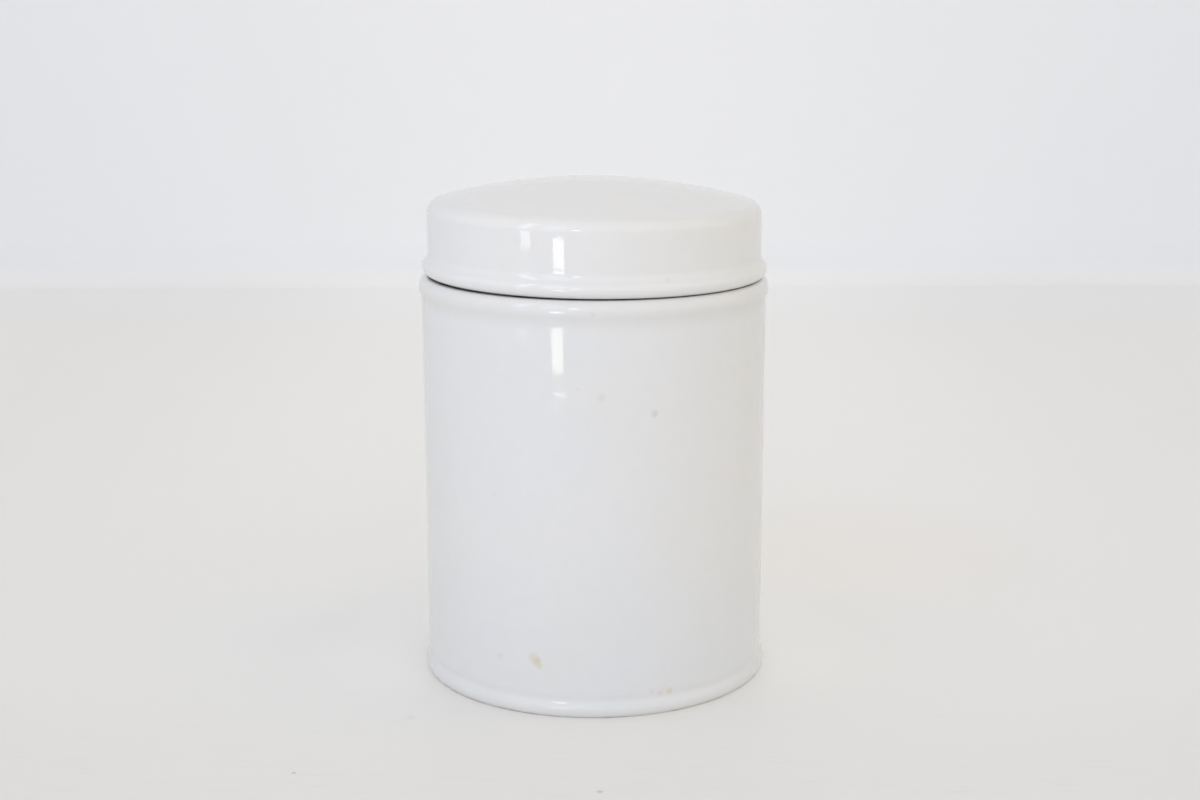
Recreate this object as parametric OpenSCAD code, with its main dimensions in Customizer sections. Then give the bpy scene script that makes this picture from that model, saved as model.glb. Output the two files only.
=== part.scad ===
// Ointment pot: a turned porcelain jar with a low rolled foot, a beaded rim and a cap lid.
// The lid slips over a plain neck and sits on the flat seat around it.
// Millimetres, +Z up, the axis of the pot on Z and the foot standing on z = 0.

/* [Pot] */
// Outer diameter of the pot's straight wall
body_d = 56; // [44:1:80]
// Thickness of the pot's wall
body_wall = 3.4; // [2.6:0.1:4.4]
// Height of the seat that the lid sits on
pot_h = 65.7; // [45:0.1:100]
// Thickness of the floor above the hollow of the foot
floor_t = 3.7; // [2.5:0.1:6]
// Radius where the inside wall runs into the floor
floor_round = 6; // [2:0.5:10]
// Radius of both turns of the inside where it draws in to the neck
shoulder_round = 3; // [2:0.25:5]

/* [Foot] */
// How far the foot roll stands out from the wall
foot_out = 0.45; // [0.2:0.05:1.5]
// Radius of the foot roll
foot_roll = 1.5; // [0.8:0.05:1.8]
// Angle that the roll turns under before the flat ring cuts it
foot_under = 45; // [40:1:80]
// Depth of the groove that draws the wall in above the roll
foot_dip = 0.1; // [0.05:0.05:0.6]
// Radius of the hollow of that groove
foot_cove = 1.8; // [1:0.1:5]
// Radius of the turn from the wall into that groove
foot_turn = 5; // [2:0.5:10]
// Width of the flat ring that the pot stands on
foot_ring = 3.2; // [2:0.1:6]
// Depth of the hollow under the floor, and radius of its cove
foot_hollow = 1.2; // [0.5:0.1:2]

/* [Rim bead] */
// How far the bead under the seat stands out from the wall
bead_out = 0.4; // [0.15:0.05:1]
// Radius of the bead's face
bead_face = 2.8; // [2.5:0.1:5]
// Depth of the bead's widest line below the seat
bead_drop = 1.8; // [1.6:0.05:2.6]
// Radius that carries the bead over into the ledge
bead_edge = 1.2; // [0.6:0.1:1.4]
// Radius of the cove under the bead
bead_cove = 5; // [1:0.5:8]

/* [Seat] */
// Width of the flat ring by the neck that carries the lid
seat_w = 1.75; // [1:0.05:2.2]
// Step down from the seat to the ledge around it, which keeps the seam open
seam_gap = 0.1; // [0.05:0.05:0.4]

/* [Neck] */
// Thickness of the neck's wall
neck_wall = 2.2; // [1.6:0.1:3]
// Room between the lip of the neck and the turn of the lid's inside
neck_room = 0.75; // [0.5:0.05:3]

/* [Lid] */
// Height of the lid from its seat to the top of its dome
lid_h = 15.3; // [12:0.1:24]
// How far the lid's skirt is set in from the pot's wall
lid_inset = 0.95; // [0.5:0.05:1.5]
// Thickness of the lid's skirt
lid_wall = 2.3; // [1.8:0.1:3]
// Thickness of the lid's top
lid_top = 3; // [2:0.1:4]
// Rise of the dome over the full width of the lid
dome_rise = 3.75; // [1:0.05:5]
// Radius of the lid's outer shoulder
lid_shoulder = 2.2; // [0.6:0.1:3]
// Radius of the turn inside the lid
lid_inner_turn = 2; // [0.8:0.1:3]

/* [Lid rim] */
// How far the rim roll stands out from the lid's skirt
rim_out = 0.95; // [0.5:0.05:1.8]
// Radius of the rim roll
rim_roll = 1.4; // [0.8:0.05:1.6]
// Angle that the roll turns under before the flat seat cuts it
rim_under = 75; // [30:1:80]
// Radius of the cove between the rim roll and the skirt
rim_cove = 1.9; // [0.5:0.1:3]
// Radius of the lid's inner lower edge
lid_edge = 0.6; // [0.3:0.05:1]

/* [Fit] */
// Gap all round between the neck and the inside of the lid
lid_clear = 0.4; // [0.2:0.05:1]
// Radius in the corner between the neck and the seat, inside that gap
neck_root = 0.3; // [0.1:0.05:0.5]

/* [Finish] */
// Greatest gap between a round edge and the short steps that make it
arc_gap = 0.01; // [0.005:0.005:0.03]

/* [Hidden] */

GLAZE_WHITE = [0.93, 0.93, 0.92];
TURN_FN = 160;

// Radii that follow from the wall outwards and inwards
body_r = body_d / 2;
inner_r = body_r - body_wall;
lid_r = body_r - lid_inset;
lid_in_r = lid_r - lid_wall;
neck_r = lid_in_r - lid_clear;
mouth_r = neck_r - neck_wall;
seat_r = neck_r + seat_w;
lip_r = neck_wall / 2;

// Centres of the foot roll, the groove above it and the turn of the wall into the groove,
// and the bearings where these arcs meet
foot_c = [body_r + foot_out - foot_roll, foot_roll * sin(foot_under)];
foot_cove_c = cove_centre(foot_c, foot_roll, body_r - foot_dip, foot_cove, 1);
foot_meet = bearing(foot_c, foot_cove_c);
turn_reach = foot_turn + foot_cove;
foot_turn_c = [body_r - foot_turn, foot_cove_c.y + leg(turn_reach, turn_reach - foot_dip)];
dip_meet = bearing(foot_turn_c, foot_cove_c);
ring_in_r = foot_c.x + foot_roll * cos(foot_under) - foot_ring;

// Centres of the bead, its edge and its cove, and the bearings where the arcs meet
bead_c = [body_r + bead_out - bead_face, pot_h - bead_drop];
bead_cove_c = cove_centre(bead_c, bead_face, body_r, bead_cove, -1);
bead_meet = bearing(bead_c, bead_cove_c);
edge_rise = bead_drop - seam_gap - bead_edge;
edge_reach = leg(bead_face - bead_edge, edge_rise);
edge_c = bead_c + [edge_reach, edge_rise];
edge_meet = bearing(bead_c, edge_c);

// Centres of the two turns that draw the inside in to the neck
draw_in = inner_r - mouth_r;
neck_turn_c = [mouth_r + shoulder_round, pot_h];
wall_turn_c = [
    inner_r - shoulder_round,
    pot_h - leg(2 * shoulder_round, 2 * shoulder_round - draw_in)
];
turn_meet = bearing(wall_turn_c, neck_turn_c);
floor_z = foot_hollow + floor_t;
floor_c = [inner_r - floor_round, floor_z + floor_round];

// The dome and its inner face are spheres about one point on the axis
top_z = pot_h + lid_h;
dome_r = (lid_r * lid_r + dome_rise * dome_rise) / (2 * dome_rise);
ceiling_r = dome_r - lid_top;
dome_c = [0, top_z - dome_r];
shoulder_c = dome_c + [
    lid_r - lid_shoulder,
    leg(dome_r - lid_shoulder, lid_r - lid_shoulder)
];
inner_turn_c = dome_c + [
    lid_in_r - lid_inner_turn,
    leg(ceiling_r - lid_inner_turn, lid_in_r - lid_inner_turn)
];
dome_meet = bearing(dome_c, shoulder_c);
ceiling_meet = bearing(dome_c, inner_turn_c);
lip_c = [neck_r - lip_r, inner_turn_c.y - neck_room - lip_r];

// Centres of the rim roll and its cove
rim_c = [lid_r + rim_out - rim_roll, pot_h + rim_roll * sin(rim_under)];
rim_cove_c = cove_centre(rim_c, rim_roll, lid_r, rim_cove, 1);
rim_meet = bearing(rim_c, rim_cove_c);

// Other short side of a right triangle
function leg(long_side, short_side) = sqrt(long_side * long_side - short_side * short_side);

// Bearing from one point to another, in degrees
function bearing(from, to) = atan2(to.y - from.y, to.x - from.x);

// Point on a circle at a bearing
function on_circle(c, r, a) = c + r * [cos(a), sin(a)];

// Centre of a cove that touches a roll of radius roll_r about roll_c and a wall at radius wall_r.
// side is 1 where the cove lies above the roll and -1 where it lies below.
function cove_centre(roll_c, roll_r, wall_r, cove_r, side) =
    [
        wall_r + cove_r,
        roll_c.y + side * leg(roll_r + cove_r, wall_r + cove_r - roll_c.x)
    ];

// Points along an arc from one bearing to another, no further than arc_gap from the true curve.
// An arc that runs on into another leaves its end to the next one.
function arc(c, r, from, to, runs_on = false) =
    let (steps = ceil(abs(to - from) / (2 * acos(1 - arc_gap / r))))
    [for (i = [0 : runs_on ? steps - 1 : steps]) on_circle(c, r, from + (to - from) * i / steps)];

// Jar with a hollow foot, a beaded rim, a stepped ledge and a neck with a rounded lip
module pot() {
    outline = concat(
        [[0, foot_hollow]],
        arc([ring_in_r - foot_hollow, 0], foot_hollow, 90, 0),
        arc(foot_c, foot_roll, -foot_under, foot_meet, runs_on = true),
        arc(foot_cove_c, foot_cove, foot_meet + 180, dip_meet + 180, runs_on = true),
        arc(foot_turn_c, foot_turn, dip_meet, 0),
        arc(bead_cove_c, bead_cove, 180, bead_meet + 180, runs_on = true),
        arc(bead_c, bead_face, bead_meet, edge_meet, runs_on = true),
        arc(edge_c, bead_edge, edge_meet, 90),
        [[seat_r + seam_gap, pot_h - seam_gap], [seat_r, pot_h]],
        arc([neck_r + neck_root, pot_h + neck_root], neck_root, 270, 180),
        arc(lip_c, lip_r, 0, 180),
        arc(neck_turn_c, shoulder_round, 180, turn_meet + 180, runs_on = true),
        arc(wall_turn_c, shoulder_round, turn_meet, 0),
        arc(floor_c, floor_round, 0, -90),
        [[0, floor_z]]
    );
    color(GLAZE_WHITE) rotate_extrude($fn = TURN_FN) polygon(outline);
}

// Cap with a domed top, a rolled rim and a flat seat
module lid() {
    outline = concat(
        arc(dome_c, ceiling_r, 90, ceiling_meet, runs_on = true),
        arc(inner_turn_c, lid_inner_turn, ceiling_meet, 0),
        arc([lid_in_r + lid_edge, pot_h + lid_edge], lid_edge, 180, 270),
        arc(rim_c, rim_roll, -rim_under, rim_meet, runs_on = true),
        arc(rim_cove_c, rim_cove, rim_meet + 180, 180),
        arc(shoulder_c, lid_shoulder, 0, dome_meet, runs_on = true),
        arc(dome_c, dome_r, dome_meet, 90)
    );
    color(GLAZE_WHITE) rotate_extrude($fn = TURN_FN) polygon(outline);
}

pot();
lid();
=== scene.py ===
import math
import random

import bpy
from mathutils import Matrix, Vector


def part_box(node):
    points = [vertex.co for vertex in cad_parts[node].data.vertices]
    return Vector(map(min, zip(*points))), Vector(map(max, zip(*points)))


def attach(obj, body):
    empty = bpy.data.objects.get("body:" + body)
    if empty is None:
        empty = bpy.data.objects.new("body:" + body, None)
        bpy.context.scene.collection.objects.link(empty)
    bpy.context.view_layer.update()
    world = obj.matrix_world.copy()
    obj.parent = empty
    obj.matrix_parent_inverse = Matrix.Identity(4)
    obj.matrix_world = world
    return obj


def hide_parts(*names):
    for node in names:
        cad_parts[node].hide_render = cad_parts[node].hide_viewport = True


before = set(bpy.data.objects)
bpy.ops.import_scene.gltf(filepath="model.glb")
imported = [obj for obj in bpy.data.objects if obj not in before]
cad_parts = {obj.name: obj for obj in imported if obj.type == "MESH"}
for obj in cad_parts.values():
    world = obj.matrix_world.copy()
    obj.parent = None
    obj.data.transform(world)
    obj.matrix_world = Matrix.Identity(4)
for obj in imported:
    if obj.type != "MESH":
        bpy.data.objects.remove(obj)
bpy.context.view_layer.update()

# An old glazed porcelain ointment pot with a cap lid, on a pale table by a window.
# Sizes are in millimetres, and MM turns them into the frame's metres.
# A bearing goes round the axis in degrees, from the side that faces the camera towards +X.
MM = 0.001


def node_size(name):
    """Lowest and highest corner of a CAD node, in millimetres."""
    low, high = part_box(name)
    return low / MM, high / MM


pot_high = node_size("pot")[1]
lid_low, lid_high = node_size("lid")

# Foot
FOOT_OUT = 0.45
FOOT_ROLL = 1.5
FOOT_UNDER = 45
FOOT_DIP = 0.1
FOOT_COVE = 1.8
FOOT_TURN = 5.0
FOOT_RING = 3.2
FOOT_HOLLOW = 1.2
# Rim bead, seat and seam
BEAD_OUT = 0.4
BEAD_FACE = 2.8
BEAD_DROP = 1.8
BEAD_EDGE = 1.2
BEAD_COVE = 5.0
SEAT_W = 1.75
SEAM_GAP = 0.1
# Walls
BODY_WALL = 3.4
FLOOR_T = 3.7
FLOOR_ROUND = 6.0
SHOULDER_ROUND = 3.0
NECK_WALL = 2.2
NECK_ROOT = 0.3
# Lid
RIM_OUT = 0.95
RIM_ROLL = 1.4
RIM_UNDER = 75
RIM_COVE = 1.9
LID_WALL = 2.3
LID_TOP = 3.0
LID_CLEAR = 0.4
LID_EDGE = 0.6
LID_SHOULDER = 2.2
LID_INNER_TURN = 2.0
DOME_RISE = 3.75

# Radii and heights that follow from the frame
body_r = pot_high.x - FOOT_OUT
seat_z = lid_low.z
lip_z = pot_high.z
top_z = lid_high.z
lid_r = lid_high.x - RIM_OUT
lid_in_r = lid_r - LID_WALL
neck_r = lid_in_r - LID_CLEAR
mouth_r = neck_r - NECK_WALL
inner_r = body_r - BODY_WALL
floor_z = FOOT_HOLLOW + FLOOR_T

# Fineness of the turned meshes
TURN_STEPS = 320
ARC_STEP_DEG = 5
ARC_LEAST_STEPS = 3
STRAIGHT_STEP = 0.5
SAME_POINT = 1e-6

# Hand-made unevenness: the top of the pot slopes to one side, and the lid sits on it a little askew
TOP_SLOPE = -0.0070
LID_SLOPE = -0.0115
LID_LIFT = 0.09
LID_SHIFT = 0.17
# Each slow wave in a wall: size, waves in a turn, twist in radians a millimetre up, start in radians
WAVES = [
    (0.035, 2, 0.0, 0.6),
    (0.018, 3, -0.05, 0.0),
    (0.010, 5, 0.11, 1.9),
    (0.006, 9, -0.23, 0.4),
]
# Heights between which the waves of the pot grow, so that its foot stands flat
WAVES_FROM = 1
WAVES_FULL = 5
# How far the waves of the lid are turned against those of the pot, in radians
LID_WAVE_TURN = 1.1

# Camera, fitted to the photograph, whose width is PHOTO_W pixels
PHOTO_W = 1200
FOCAL_PX = 1873.6
CAMERA_PLACE = Vector((0.96, -302.2, 111.23))
CAMERA_PITCH = 12.453
CAMERA_ROLL = -0.17
SENSOR = 36
CLIP_START = 10


# Outlines

def leg(long_side, short_side):
    """Other short side of a right triangle."""
    return math.sqrt(long_side ** 2 - short_side ** 2)


def angle_to(start, end):
    """Angle of the way from one point of a section to another, in degrees."""
    return math.degrees(math.atan2(end[1] - start[1], end[0] - start[0]))


def on_circle(c, r, angle):
    """Point of a section on a circle, at an angle in degrees."""
    return (c[0] + r * math.cos(math.radians(angle)), c[1] + r * math.sin(math.radians(angle)))


def cove_centre(roll_c, roll_r, wall_r, cove_r, side):
    """Centre of a cove that touches a roll and a wall, above the roll (1) or below it (-1)."""
    offset = leg(roll_r + cove_r, wall_r + cove_r - roll_c[0])
    return (wall_r + cove_r, roll_c[1] + side * offset)


class Outline:
    """Half section of a turned piece: points (radius, height), each with the names of its marks."""

    def __init__(self):
        self.points = []
        self.marks = []

    def add(self, point, *marks):
        if not self.points or math.dist(self.points[-1], point) > SAME_POINT:
            self.points.append(point)
            self.marks.append(marks)

    def to(self, point, *marks):
        """Straight stretch in short steps."""
        x, y = self.points[-1]
        count = max(1, math.ceil(math.dist((x, y), point) / STRAIGHT_STEP))
        for i in range(1, count + 1):
            self.add((x + (point[0] - x) * i / count, y + (point[1] - y) * i / count), *marks)

    def arc(self, c, r, start, end, *marks):
        """Arc from one angle to another, joined to what came before by a straight stretch."""
        sweep = abs(end - start)
        length = math.radians(sweep) * r
        count = math.ceil(max(ARC_LEAST_STEPS, sweep / ARC_STEP_DEG, length / STRAIGHT_STEP))
        if self.points:
            self.to(on_circle(c, r, start))
        for i in range(count + 1):
            self.add(on_circle(c, r, start + (end - start) * i / count), *marks)


def pot_outline():
    """Jar with a hollow foot, a groove above it, a beaded rim, a seat and a neck with a rounded lip."""
    o = Outline()
    foot_c = (body_r + FOOT_OUT - FOOT_ROLL, FOOT_ROLL * math.sin(math.radians(FOOT_UNDER)))
    foot_cove_c = cove_centre(foot_c, FOOT_ROLL, body_r - FOOT_DIP, FOOT_COVE, 1)
    foot_meet = angle_to(foot_c, foot_cove_c)
    turn_reach = FOOT_TURN + FOOT_COVE
    foot_turn_c = (body_r - FOOT_TURN, foot_cove_c[1] + leg(turn_reach, turn_reach - FOOT_DIP))
    dip_meet = angle_to(foot_turn_c, foot_cove_c)
    ring_out = on_circle(foot_c, FOOT_ROLL, -FOOT_UNDER)[0]
    ring_in = ring_out - FOOT_RING
    bead_c = (body_r + BEAD_OUT - BEAD_FACE, seat_z - BEAD_DROP)
    bead_cove_c = cove_centre(bead_c, BEAD_FACE, body_r, BEAD_COVE, -1)
    bead_meet = angle_to(bead_c, bead_cove_c)
    edge_rise = BEAD_DROP - SEAM_GAP - BEAD_EDGE
    edge_c = (bead_c[0] + leg(BEAD_FACE - BEAD_EDGE, edge_rise), bead_c[1] + edge_rise)
    edge_meet = angle_to(bead_c, edge_c)
    seat_edge = neck_r + SEAT_W
    lip = NECK_WALL / 2
    lip_c = (neck_r - lip, lip_z - lip)
    neck_turn_c = (mouth_r + SHOULDER_ROUND, seat_z)
    drop = leg(2 * SHOULDER_ROUND, 2 * SHOULDER_ROUND - (inner_r - mouth_r))
    wall_turn_c = (inner_r - SHOULDER_ROUND, seat_z - drop)
    turn_meet = angle_to(wall_turn_c, neck_turn_c)

    o.add((0.0, FOOT_HOLLOW))
    o.arc((ring_in - FOOT_HOLLOW, 0.0), FOOT_HOLLOW, 90, 0, "pool")
    o.to((ring_out, 0.0), "bare")
    o.arc(foot_c, FOOT_ROLL, -FOOT_UNDER, foot_meet, "shade")
    o.arc(foot_cove_c, FOOT_COVE, foot_meet + 180, dip_meet + 180)
    o.arc(foot_turn_c, FOOT_TURN, dip_meet, 0)
    # Bead cove: pooled glaze. Bead face and edge: the same tint, as painted shade
    o.arc(bead_cove_c, BEAD_COVE, 180, bead_meet + 180, "pool")
    o.arc(bead_c, BEAD_FACE, bead_meet, edge_meet, "pool")
    o.arc(edge_c, BEAD_EDGE, edge_meet, 90, "pool")
    # Painted shade: the seat ledge is darkened so that the seam under the lid reads dark
    o.to((seat_edge + SEAM_GAP, seat_z - SEAM_GAP), "bare", "soil")
    o.to((seat_edge, seat_z), "bare", "soil")
    o.to((neck_r + NECK_ROOT, seat_z), "bare")
    o.arc((neck_r + NECK_ROOT, seat_z + NECK_ROOT), NECK_ROOT, 270, 180, "pool")
    o.arc(lip_c, lip, 0, 180, "worn")
    o.arc(neck_turn_c, SHOULDER_ROUND, 180, turn_meet + 180, "inside")
    o.arc(wall_turn_c, SHOULDER_ROUND, turn_meet, 0, "inside")
    o.arc((inner_r - FLOOR_ROUND, floor_z + FLOOR_ROUND), FLOOR_ROUND, 0, -90, "pool", "inside")
    o.to((0.0, floor_z), "inside")
    return o


def lid_outline():
    """Cap with a domed top, a rolled rim and a flat seat."""
    o = Outline()
    dome_r = (lid_r ** 2 + DOME_RISE ** 2) / (2 * DOME_RISE)
    ceiling_r = dome_r - LID_TOP
    dome_c = (0.0, top_z - dome_r)
    shoulder_c = (lid_r - LID_SHOULDER, dome_c[1] + leg(dome_r - LID_SHOULDER, lid_r - LID_SHOULDER))
    turn_in = lid_in_r - LID_INNER_TURN
    turn_c = (turn_in, dome_c[1] + leg(ceiling_r - LID_INNER_TURN, turn_in))
    rim_c = (lid_r + RIM_OUT - RIM_ROLL, seat_z + RIM_ROLL * math.sin(math.radians(RIM_UNDER)))
    rim_cove_c = cove_centre(rim_c, RIM_ROLL, lid_r, RIM_COVE, 1)
    rim_meet = angle_to(rim_c, rim_cove_c)
    ceiling_meet = angle_to(dome_c, turn_c)
    dome_meet = angle_to(dome_c, shoulder_c)
    seat_edge = neck_r + SEAT_W

    o.arc(dome_c, ceiling_r, 90, ceiling_meet, "inside")
    o.arc(turn_c, LID_INNER_TURN, ceiling_meet, 0, "pool", "inside")
    o.arc((lid_in_r + LID_EDGE, seat_z + LID_EDGE), LID_EDGE, 180, 270, "worn")
    o.to((seat_edge, seat_z), "bare")
    # Painted shade on the rim's underside, to darken the seam
    o.to(on_circle(rim_c, RIM_ROLL, -RIM_UNDER), "bare", "soil")
    o.arc(rim_c, RIM_ROLL, -RIM_UNDER, rim_meet)
    o.arc(rim_cove_c, RIM_COVE, rim_meet + 180, 180)
    o.arc(shoulder_c, LID_SHOULDER, 0, dome_meet, "worn")
    o.arc(dome_c, dome_r, dome_meet, 90)
    return o


# Objects and turned meshes

def new_object(name, data):
    """Object in the scene's own collection."""
    made = bpy.data.objects.new(name, data)
    bpy.context.scene.collection.objects.link(made)
    return made


def new_mesh(name, verts, faces):
    mesh = bpy.data.meshes.new(name)
    mesh.from_pydata(verts, [], faces)
    mesh.shade_smooth()
    return mesh


# How far each mark fades along the outline
MARK_REACH = {"bare": 0.4, "pool": 1.2, "shade": 0.5, "worn": 0.6, "soil": 0.15, "inside": 1.5}


def soften(outline, mark):
    """A value per outline point: 1 on the mark, fading to 0 over its reach."""
    reach = MARK_REACH[mark]
    marked = [p for p, marks in zip(outline.points, outline.marks) if mark in marks]
    gaps = [min((math.dist(p, q) for q in marked), default=reach) for p in outline.points]
    return [max(0.0, 1 - gap / reach) for gap in gaps]


def smooth_step(t):
    t = min(1.0, max(0.0, t))
    return t * t * (3 - 2 * t)


def waver(angle, height):
    """Slow unevenness of a hand-finished wall, in millimetres, at an angle in radians."""
    total = 0.0
    for size, count, twist, start in WAVES:
        total += size * math.sin(count * angle + twist * height + start)
    return total


def pot_shape(x, y, z, angle):
    """Place that a point of the true pot takes on the uneven one."""
    lean = smooth_step(z / seat_z)
    share = smooth_step((z - WAVES_FROM) / (WAVES_FULL - WAVES_FROM))
    grow = 1 + waver(angle, z) * share / body_r
    return x * grow, y * grow, z + TOP_SLOPE * x * lean


def lid_shape(x, y, z, angle):
    """Place that a point of the true lid takes on the uneven one."""
    grow = 1 + waver(angle + LID_WAVE_TURN, z) / body_r
    return x * grow + LID_SHIFT, y * grow, z + LID_LIFT + LID_SLOPE * x


def turn(name, outline, shape):
    """Outline turned about Z and made uneven by shape, with its marks kept as point attributes."""
    verts, faces, rings, owner = [], [], [], []
    for index, (radius, height) in enumerate(outline.points):
        ring = []
        for i in range(1 if radius < SAME_POINT else TURN_STEPS):
            angle = 2 * math.pi * i / TURN_STEPS
            place = shape(radius * math.sin(angle), -radius * math.cos(angle), height, angle)
            ring.append(len(verts))
            verts.append(Vector(place) * MM)
            owner.append(index)
        rings.append(ring)
    for low, high in zip(rings, rings[1:]):
        for i in range(TURN_STEPS):
            j = (i + 1) % TURN_STEPS
            if len(low) == 1:
                faces.append((low[0], high[j], high[i]))
            elif len(high) == 1:
                faces.append((low[i], low[j], high[0]))
            else:
                faces.append((low[i], low[j], high[j], high[i]))
    mesh = new_mesh(name, verts, faces)
    for mark in MARK_REACH:
        values = soften(outline, mark)
        layer = mesh.attributes.new(mark, "FLOAT", "POINT")
        layer.data.foreach_set("value", [values[k] for k in owner])
    mesh.update()
    return new_object(name, mesh)


# Node helpers

# Places of the colour sockets on a mix node, whose names other sockets share
MIX_FACTOR = 0
MIX_A = 6
MIX_B = 7
MIX_RESULT = 2
# Part of the noise's range that the soft patches use
CLOUD_RANGE = (0.3, 0.7)


def new_material(name):
    """Material with its node tree and its shader."""
    material = bpy.data.materials.new(name)
    material.use_nodes = True
    tree = material.node_tree
    return material, tree, tree.nodes["Principled BSDF"]


def put(tree, kind, **settings):
    """New node with its settings."""
    made = tree.nodes.new(kind)
    for key, value in settings.items():
        setattr(made, key, value)
    return made


def feed(tree, socket, value):
    """Links an output to a socket, or sets the socket's own value."""
    if isinstance(value, bpy.types.NodeSocket):
        tree.links.new(value, socket)
    else:
        socket.default_value = value


def calc(tree, operation, *values):
    """Output of a math node."""
    made = put(tree, "ShaderNodeMath", operation=operation)
    for socket, value in zip(made.inputs, values):
        feed(tree, socket, value)
    return made.outputs[0]


def vector(tree, operation, *values):
    """Output of a vector math node, a single value where the operation gives one."""
    made = put(tree, "ShaderNodeVectorMath", operation=operation)
    for socket, value in zip(made.inputs, values):
        feed(tree, socket, value)
    scalar = operation in ("DISTANCE", "DOT_PRODUCT", "LENGTH")
    return made.outputs["Value" if scalar else "Vector"]


def ramp(tree, value, low, high, out_low=0.0, out_high=1.0):
    """Smooth change from one value to another while the input goes from low to high."""
    made = put(tree, "ShaderNodeMapRange", interpolation_type="SMOOTHSTEP")
    for socket, given in zip(made.inputs, (value, low, high, out_low, out_high)):
        feed(tree, socket, given)
    return made.outputs[0]


def rise(tree, value, reach):
    """From 0 to 1 while a length goes through a reach in millimetres."""
    return ramp(tree, value, reach[0] * MM, reach[1] * MM)


def fall(tree, value, reach):
    """From 1 to 0 while a length goes through a reach in millimetres."""
    return ramp(tree, value, reach[0] * MM, reach[1] * MM, 1.0, 0.0)


def split(tree, place):
    """X, Y and Z of a place."""
    made = put(tree, "ShaderNodeSeparateXYZ")
    feed(tree, made.inputs[0], place)
    return made.outputs


def mix(tree, factor, a, b, blend="MIX"):
    """Output of a colour mix node."""
    made = put(tree, "ShaderNodeMix", data_type="RGBA", blend_type=blend)
    for index, value in ((MIX_FACTOR, factor), (MIX_A, a), (MIX_B, b)):
        feed(tree, made.inputs[index], value)
    return made.outputs[MIX_RESULT]


def tinted(tree, factor, color, tint):
    """Colour multiplied by a tint, as far as the factor says."""
    return mix(tree, factor, color, mix(tree, 1.0, color, tint, "MULTIPLY"))


def noise(tree, place, size, detail=2.0, rough=0.5):
    """Noise node whose lumps are about size millimetres across."""
    made = put(tree, "ShaderNodeTexNoise")
    feed(tree, made.inputs["Vector"], place)
    made.inputs["Scale"].default_value = 1 / (size * MM)
    made.inputs["Detail"].default_value = detail
    made.inputs["Roughness"].default_value = rough
    return made


def cloud(tree, place, size, low, high, detail=2.0, rough=0.5):
    """Soft patches about size millimetres across, from the value low to the value high."""
    return ramp(tree, noise(tree, place, size, detail, rough).outputs[0], *CLOUD_RANGE, low, high)


# Specks and stains

def at(angle, height, radius):
    """Point of a turned piece at a bearing, a height and a radius."""
    a = math.radians(angle)
    return Vector((radius * math.sin(a), -radius * math.cos(a), height))


# Each mark: place on the piece, radius of the mark, strength
POT_SPECKS = [
    (at(19.3, 48.20, body_r), 0.78, 0.20),
    (at(2.5, 50.98, body_r), 0.85, 0.10),
    (at(-4.7, 52.37, body_r), 0.40, 0.08),
    (at(-33.6, 34.94, body_r), 0.80, 0.06),
    (at(-0.1, 63.70, body_r + BEAD_OUT), 0.60, 0.10),
]
POT_STAINS = [
    (at(-19.8, 9.27, body_r), 1.25, 0.20),
    (at(-18.7, 8.77, body_r), 1.20, 0.34),
    (at(-17.9, 8.12, body_r), 0.95, 0.22),
    (at(-32.0, 8.60, body_r), 1.00, 0.12),
    (at(18.6, 3.75, body_r), 0.70, 0.08),
    (at(21.6, 3.34, body_r - FOOT_DIP), 0.85, 0.17),
    (at(24.8, 3.42, body_r - FOOT_DIP), 0.90, 0.22),
]
LID_SPECKS = [(at(24.0, 68.25, lid_r + 0.3), 0.60, 0.07)]
# Part of a mark's radius that has its full strength
MARK_CORE = 0.2
# Bearings, radii and strengths of the specks that are drawn by chance
STRAY_BEARING = (70, 290)
STRAY_RADIUS = (0.35, 0.7)
STRAY_STRENGTH = (0.15, 0.4)


def stray_marks(count, seed, radius, low, high):
    """Small specks between two heights, on the sides that the photograph doesn't show."""
    draw = random.Random(seed)
    marks = []
    for _ in range(count):
        place = at(draw.uniform(*STRAY_BEARING), draw.uniform(low, high), radius)
        marks.append((place, draw.uniform(*STRAY_RADIUS), draw.uniform(*STRAY_STRENGTH)))
    return marks


def mark_mask(tree, place, marks):
    """Strength of the strongest of a set of soft round marks at each point."""
    total = 0.0
    for point, radius, strength in marks:
        gap = vector(tree, "DISTANCE", place, point * MM)
        here = ramp(tree, gap, MARK_CORE * radius * MM, radius * MM, strength, 0.0)
        total = calc(tree, "MAXIMUM", total, here)
    return total


# Porcelain

POT_WHITE = (0.745, 0.750, 0.757, 1)
LID_WHITE = (0.765, 0.766, 0.766, 1)
COOL_TINT = (0.982, 0.992, 1.0, 1)
WARM_TINT = (1.0, 0.994, 0.980, 1)
# Tint of glaze pooled in the coves; on the rim bead the same tint is painted shade
POOL_AND_SHADE_TINT = (0.984, 0.976, 0.962, 1)
SHADE_TINT = (0.975, 0.975, 0.975, 1)
WORN_TINT = (1.0, 0.997, 0.990, 1)
AGED_TINT = (0.985, 0.965, 0.915, 1)
# Painted shade: the wall is darker and bluer towards the foot
LOW_SHADE_TINT = (0.962, 0.970, 0.985, 1)
SPECK = (0.24, 0.24, 0.17, 1)
STAIN = (0.56, 0.375, 0.05, 1)
BISCUIT = (0.70, 0.665, 0.60, 1)
BISCUIT_DIRTY = (0.50, 0.45, 0.37, 1)
# Near-black painted shade for the seam between lid and pot
SEAM_SHADE = (0.13, 0.11, 0.09, 1)
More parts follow.
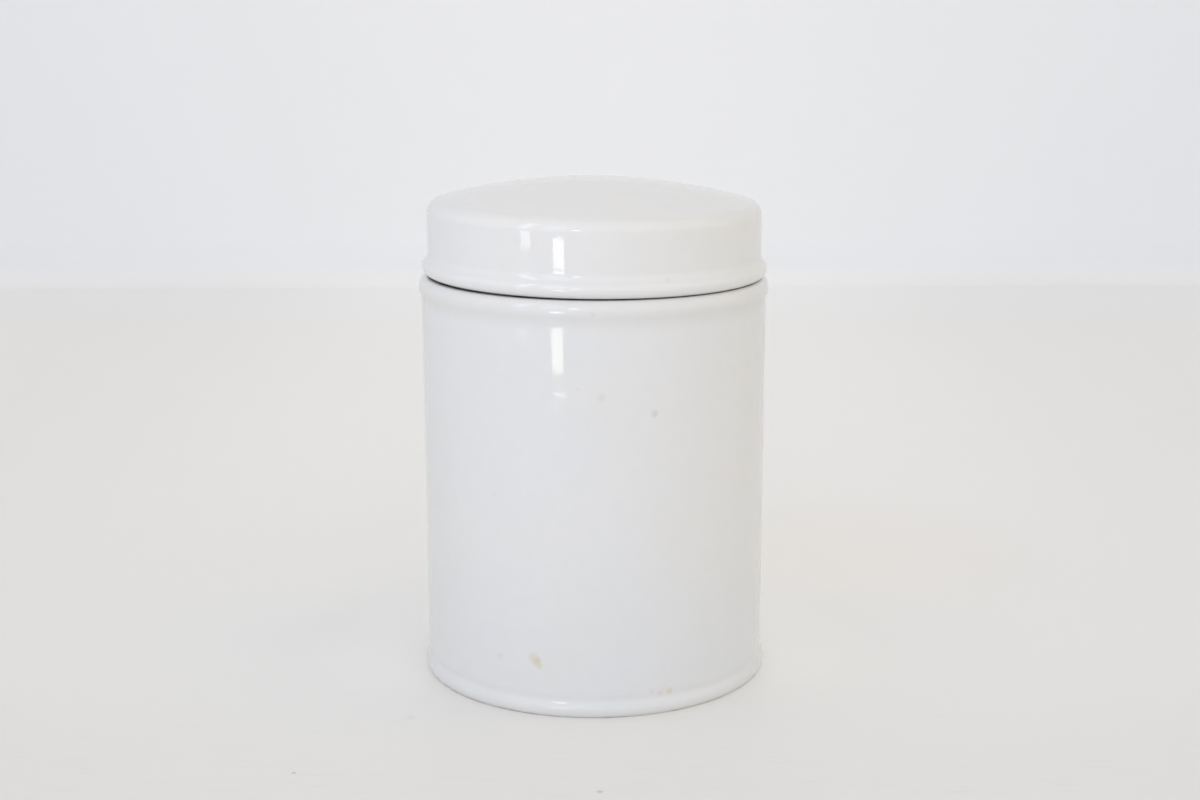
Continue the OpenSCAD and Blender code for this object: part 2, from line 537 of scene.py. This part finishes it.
# Sizes of the patches, and the values that they range over
COOL_SIZE = 28
WARM_SIZE = 19
MOTTLE_SIZE = 2.4
MOTTLE = (0.992, 1.004)
AGED_SIZE = 9
AGED = (0.35, 1.0)
BARE_EDGE_SIZE = 2.2
BARE_EDGE = (-0.35, 0.35)
BARE_LEVEL = (0.42, 0.58)
BISCUIT_SIZE = 3.5
SEAM_SHADE_SIZE = 4.5
SEAM_SHADE_COVER = (0.75, 1.0)
GLOSS_SIZE = 7
GLOSS_ROUGH = (0.035, 0.075)
# Heights over which the painted shade of the lower wall fades
LOW_SHADE_REACH = (4, 32)
# Marks get ragged edges: size of the unevenness and how far it moves them
RAGGED_SIZE = 0.8
RAGGED_SHIFT = 0.7
NOISE_MIDDLE = (0.5, 0.5, 0.5)
# Roughness that is added on the foot roll, on the pools and the bead, and where the body is bare or
# under the painted seam shade
SHADE_ROUGH = 0.16
POOL_ROUGH = 0.08
DULL_ROUGH = 0.75
GLAZE_IOR = 1.52
# Faint waves in the glaze
BUMP_SIZE = 4
BUMP_DEPTH = 0.02
BUMP_STRENGTH = 0.8


def glaze_color(tree, place, white, mark):
    """White that drifts between cool and warm, with faint clouds, pools in the coves and worn edges,
    and painted shade on the bead, on the foot roll and low on the wall.
    """
    height = split(tree, place)["Z"]
    color = tinted(tree, cloud(tree, place, COOL_SIZE, 0.0, 1.0), white, COOL_TINT)
    color = tinted(tree, cloud(tree, place, WARM_SIZE, 1.0, 0.0, detail=3), color, WARM_TINT)
    # Painted shade: darker and bluer low on the wall
    color = tinted(tree, fall(tree, height, LOW_SHADE_REACH), color, LOW_SHADE_TINT)
    mottle = cloud(tree, place, MOTTLE_SIZE, *MOTTLE, detail=4, rough=0.6)
    color = mix(tree, 1.0, color, mottle, "MULTIPLY")
    for name, tint in (("pool", POOL_AND_SHADE_TINT), ("shade", SHADE_TINT), ("worn", WORN_TINT)):
        color = tinted(tree, mark[name], color, tint)
    aged = calc(tree, "MULTIPLY", mark["inside"], cloud(tree, place, AGED_SIZE, *AGED, detail=4))
    return tinted(tree, aged, color, AGED_TINT)


def add_marks(tree, place, color, specks, stains):
    """Specks and stains whose edges are made ragged by moving the place they are looked up at."""
    shift = vector(tree, "SUBTRACT", noise(tree, place, RAGGED_SIZE).outputs["Color"], NOISE_MIDDLE)
    ragged = vector(tree, "MULTIPLY_ADD", shift, (RAGGED_SHIFT * MM,) * 3, place)
    color = mix(tree, mark_mask(tree, ragged, stains), color, STAIN)
    return mix(tree, mark_mask(tree, ragged, specks), color, SPECK)


def porcelain(name, white, specks, stains):
    """White glaze over an off-white body that shows where the piece was left bare, and painted shade
    that darkens the seam.
    """
    material, tree, shader = new_material(name)
    place = put(tree, "ShaderNodeTexCoord").outputs["Object"]
    mark = {}
    for key in MARK_REACH:
        mark[key] = put(tree, "ShaderNodeAttribute", attribute_name=key).outputs["Fac"]

    glaze = add_marks(tree, place, glaze_color(tree, place, white, mark), specks, stains)
    edge = cloud(tree, place, BARE_EDGE_SIZE, *BARE_EDGE)
    bare = ramp(tree, calc(tree, "ADD", mark["bare"], edge), *BARE_LEVEL)
    dirt = cloud(tree, place, BISCUIT_SIZE, 0.0, 1.0, detail=5, rough=0.65)
    biscuit = mix(tree, dirt, BISCUIT, BISCUIT_DIRTY)
    # Painted shade in the seam, broken up by patches
    cover = cloud(tree, place, SEAM_SHADE_SIZE, *SEAM_SHADE_COVER, detail=4, rough=0.6)
    soil = calc(tree, "MULTIPLY", mark["soil"], cover)
    ground = mix(tree, soil, mix(tree, bare, glaze, biscuit), SEAM_SHADE)
    feed(tree, shader.inputs["Base Color"], ground)

    rough = cloud(tree, place, GLOSS_SIZE, *GLOSS_ROUGH, detail=3)
    dull = calc(tree, "MAXIMUM", bare, soil)
    for value, added in ((mark["shade"], SHADE_ROUGH), (mark["pool"], POOL_ROUGH), (dull, DULL_ROUGH)):
        rough = calc(tree, "MULTIPLY_ADD", value, added, rough)
    feed(tree, shader.inputs["Roughness"], rough)
    shader.inputs["IOR"].default_value = GLAZE_IOR

    bump = put(tree, "ShaderNodeBump")
    bump.inputs["Strength"].default_value = BUMP_STRENGTH
    bump.inputs["Distance"].default_value = BUMP_DEPTH * MM
    feed(tree, bump.inputs["Height"], noise(tree, place, BUMP_SIZE, detail=3).outputs[0])
    feed(tree, shader.inputs["Normal"], bump.outputs[0])
    return material


# The object

def dress(name, body, outline, shape, material):
    """Turned piece that takes the place of the CAD node of the body it rides on."""
    piece = turn(name, outline, shape)
    piece.data.materials.append(material)
    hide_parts(body)
    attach(piece, body)
    return piece


pot_specks = POT_SPECKS + stray_marks(count=9, seed=3, radius=body_r, low=6, high=60)
lid_specks = LID_SPECKS + stray_marks(count=4, seed=8, radius=lid_r, low=70, high=75)
pot_glaze = porcelain("pot_glaze", POT_WHITE, pot_specks, POT_STAINS)
lid_glaze = porcelain("lid_glaze", LID_WHITE, lid_specks, [])
pieces = [
    dress("pot_turned", "pot", pot_outline(), pot_shape, pot_glaze),
    dress("lid_turned", "lid", lid_outline(), lid_shape, lid_glaze),
]


# Stage: a pale table that runs up into a wall

WALL_Y = 409
SWEEP_R = 14
SWEEP_STEPS = 12
STAGE_HALF_W = 1500
STAGE_FRONT = -1200
WALL_TOP = 900
STAGE_ROUGH = 0.45
STAGE_SPECULAR = 0.25
TABLE = (0.902, 0.905, 0.901, 1)
WALL = (0.915, 0.929, 0.948, 1)

# Tints that follow the photograph's light, each with the lengths over which it comes in or fades

# The table before the pot, along Y
FRONT_TINT = (0.942, 0.943, 0.958, 1)
FRONT_REACH = (-55, 8)
# The table beside the foot, by the distance from the axis, to either side and along Y
NEAR_TINT = (1.09, 1.085, 1.075, 1)
NEAR_REACH = (28, 54)
NEAR_SIDE_REACH = (10, 30)
NEAR_BACK_REACH = (-30, 0)
# The table behind the pot, by the distance from the axis and along Y
BEHIND_TINT = (1.030, 1.028, 1.024, 1)
BEHIND_REACH = (55, 95)
BEHIND_BACK_REACH = (5, 45)
# The far table, along Y
FAR_TINT = (1.014, 1.022, 1.040, 1)
FAR_REACH = (310, 392)
# Table and wall towards either side
TABLE_SIDE_TINT = (0.938, 0.935, 0.937, 1)
TABLE_SIDE_REACH = (50, 170)
WALL_SIDE_TINT = (0.93, 0.935, 0.945, 1)
WALL_SIDE_REACH = (0, 280)
# The bend between table and wall, and the heights over which the one becomes the other
BEND_TINT = (0.955, 0.960, 0.968, 1)
BEND_REACH = (0.5 * SWEEP_R, 1.2 * SWEEP_R)
UPRIGHT_REACH = (0, 0.6 * SWEEP_R)

# A painted patch of warm light on the table: place, radius, strength
WARM_LIGHT_TINT = (1.000, 0.981, 0.970, 1)
WARM_LIGHT_PLACE = [(Vector((54, 60, 0)), 48, 1.0)]
# Faint grain across the front of the table
GRAIN_TINT = (0.972, 0.972, 0.972, 1)
GRAIN_SIZE = 0.7
GRAIN_STRETCH = (0.06, 1.0, 1.0)
GRAIN_LEVEL = (0.55, 0.70)
TABLE_SPECK = (0.30, 0.28, 0.24, 1)
# Each speck on the table: place, radius, strength
TABLE_SPECKS = [
    (Vector((-43.6, -48.6, 0)), 0.55, 0.38),
    (Vector((0.8, -55.4, 0)), 0.68, 0.40),
    (Vector((-28.7, -27.5, 0)), 1.2, 0.06),
]


def table_color(tree, place, aside, back):
    """Table with the tints of its light, its grain and its specks."""
    front = fall(tree, back, FRONT_REACH)
    away = vector(tree, "LENGTH", place)
    near = calc(tree, "MULTIPLY", fall(tree, away, NEAR_REACH), rise(tree, aside, NEAR_SIDE_REACH))
    beside = calc(tree, "MULTIPLY", near, rise(tree, back, NEAR_BACK_REACH))
    behind = calc(tree, "MULTIPLY", fall(tree, away, BEHIND_REACH), rise(tree, back, BEHIND_BACK_REACH))
    stretched = vector(tree, "MULTIPLY", place, GRAIN_STRETCH)
    streaks = noise(tree, stretched, GRAIN_SIZE, detail=3, rough=0.6).outputs[0]
    grain = calc(tree, "MULTIPLY", front, ramp(tree, streaks, *GRAIN_LEVEL))
    color = TABLE
    for factor, tint in (
        (front, FRONT_TINT),
        (beside, NEAR_TINT),
        (behind, BEHIND_TINT),
        (rise(tree, back, FAR_REACH), FAR_TINT),
        (mark_mask(tree, place, WARM_LIGHT_PLACE), WARM_LIGHT_TINT),
        (grain, GRAIN_TINT),
    ):
        color = tinted(tree, factor, color, tint)
    color = mix(tree, mark_mask(tree, place, TABLE_SPECKS), color, TABLE_SPECK)
    return tinted(tree, rise(tree, aside, TABLE_SIDE_REACH), color, TABLE_SIDE_TINT)


def wall_color(tree, aside, height):
    """Wall that darkens towards the sides and in the bend."""
    color = tinted(tree, rise(tree, aside, WALL_SIDE_REACH), WALL, WALL_SIDE_TINT)
    return tinted(tree, fall(tree, height, BEND_REACH), color, BEND_TINT)


def stage_material():
    material, tree, shader = new_material("pale_stage")
    place = put(tree, "ShaderNodeTexCoord").outputs["Object"]
    across, back, height = split(tree, place)
    aside = calc(tree, "ABSOLUTE", across)
    table = table_color(tree, place, aside, back)
    wall = wall_color(tree, aside, height)
    upright = rise(tree, height, UPRIGHT_REACH)
    feed(tree, shader.inputs["Base Color"], mix(tree, upright, table, wall))
    shader.inputs["Roughness"].default_value = STAGE_ROUGH
    shader.inputs["Specular IOR Level"].default_value = STAGE_SPECULAR
    return material


def make_stage():
    """Level table, a quarter round and an upright wall, in one sheet."""
    sweep_c = (WALL_Y - SWEEP_R, SWEEP_R)
    section = [(STAGE_FRONT, 0.0)]
    for i in range(SWEEP_STEPS + 1):
        section.append(on_circle(sweep_c, SWEEP_R, -90 + 90 * i / SWEEP_STEPS))
    section.append((WALL_Y, WALL_TOP))
    verts, faces = [], []
    for y, z in section:
        verts.append((-STAGE_HALF_W * MM, y * MM, z * MM))
        verts.append((STAGE_HALF_W * MM, y * MM, z * MM))
    for i in range(len(section) - 1):
        faces.append((2 * i, 2 * i + 1, 2 * i + 3, 2 * i + 2))
    mesh = new_mesh("stage", verts, faces)
    mesh.materials.append(stage_material())
    stage = new_object("stage", mesh)


make_stage()


# Light: a pale room with soft glows, and the panes of a window

ROOM = (0.50, 0.50, 0.50, 1)
BACKDROP = (0.82, 0.82, 0.83, 1)
# Direction, cosine where the glow starts, colour that it adds
GLOWS = {
    "left": ((-0.9, -0.4, 0.15), 0.0, (0.537, 0.513, 0.475, 1)),
    "right": ((0.9, -0.4, 0.1), 0.0, (0.727, 0.639, 0.477, 1)),
    "front": ((0.0, -1.0, 0.3), 0.6, (0.049, 0.114, 0.289, 1)),
}
PANE_DISTANCE = 160
# Bearing, lowest and highest edge, width, radiance and colour of each pane
PANES = {
    "pane_upper": (-21.5, 50.3, 57.1, 19, 4.9, (1.0, 1.0, 0.97)),
    "pane_mid": (-21.5, 39.5, 48.0, 19, 12.0, (1.0, 1.0, 1.0)),
    "pane_low": (-21.5, 27.0, 37.4, 19, 4.7, (1.0, 0.96, 0.82)),
    "pane_sill": (-20.3, 21.3, 22.9, 21, 2.6, (1.0, 1.0, 1.0)),
    "pane_glow": (-21.4, 17.4, 26.1, 17, 0.30, (1.0, 1.0, 1.0)),
    "pane_side": (-42.7, 54.4, 64.0, 18, 3.0, (0.95, 0.98, 1.0)),
    "pane_side_low": (-43.2, 35.3, 37.4, 18, 2.2, (1.0, 1.0, 1.0)),
    "pane_high": (-24.3, 88, 203, 40, 1.1, (0.72, 0.78, 1.0)),
    "pane_high_side": (-44.6, 91.5, 235, 19, 3.2, (0.57, 0.70, 1.0)),
    "pane_chink": (-10.8, 88, 112.5, 13, 5.5, (0.95, 0.98, 1.0)),
}


def light_room():
    """World that lights from all sides, and shows the camera one pale colour."""
    world = bpy.data.worlds.new("room")
    bpy.context.scene.world = world
    world.use_nodes = True
    tree = world.node_tree
    way = put(tree, "ShaderNodeTexCoord").outputs["Generated"]
    color = ROOM
    for direction, start, glow in GLOWS.values():
        facing = vector(tree, "DOT_PRODUCT", way, Vector(direction).normalized())
        color = mix(tree, ramp(tree, facing, start, 1.0), color, mix(tree, 1.0, color, glow, "ADD"))
    seen = put(tree, "ShaderNodeLightPath").outputs["Is Camera Ray"]
    feed(tree, tree.nodes["Background"].inputs["Color"], mix(tree, seen, color, BACKDROP))


def hang_pane(name, receivers, angle, low, high, width, radiance, color):
    """Area light that faces the axis of the pot and lights only its receivers."""
    light = bpy.data.lights.new(name, "AREA")
    light.shape = "RECTANGLE"
    light.size = width * MM
    light.size_y = (high - low) * MM
    light.energy = radiance * math.pi * light.size * light.size_y
    light.color = color
    lamp = new_object(name, light)
    lamp.location = at(angle, (low + high) / 2, PANE_DISTANCE) * MM
    inward = Vector((-lamp.location.x, -lamp.location.y, 0))
    lamp.rotation_euler = inward.to_track_quat("-Z", "Y").to_euler()
    lamp.visible_camera = False
    lamp.light_linking.receiver_collection = receivers


# The window is far off, so its panes light only the glaze that mirrors them
glazed = bpy.data.collections.new("glazed")
for piece in pieces:
    glazed.objects.link(piece)
light_room()
for pane_name, pane in PANES.items():
    hang_pane(pane_name, glazed, *pane)


# Camera

def set_camera():
    data = bpy.data.cameras.new("camera")
    data.sensor_width = SENSOR
    data.lens = FOCAL_PX / PHOTO_W * SENSOR
    data.clip_start = CLIP_START * MM
    camera = new_object("camera", data)
    tilt = Matrix.Rotation(math.radians(90 - CAMERA_PITCH), 4, "X")
    roll = Matrix.Rotation(math.radians(CAMERA_ROLL), 4, "Z")
    camera.matrix_world = Matrix.Translation(CAMERA_PLACE * MM) @ tilt @ roll
    bpy.context.scene.camera = camera


set_camera()
bpy.context.scene.view_settings.view_transform = "Standard"
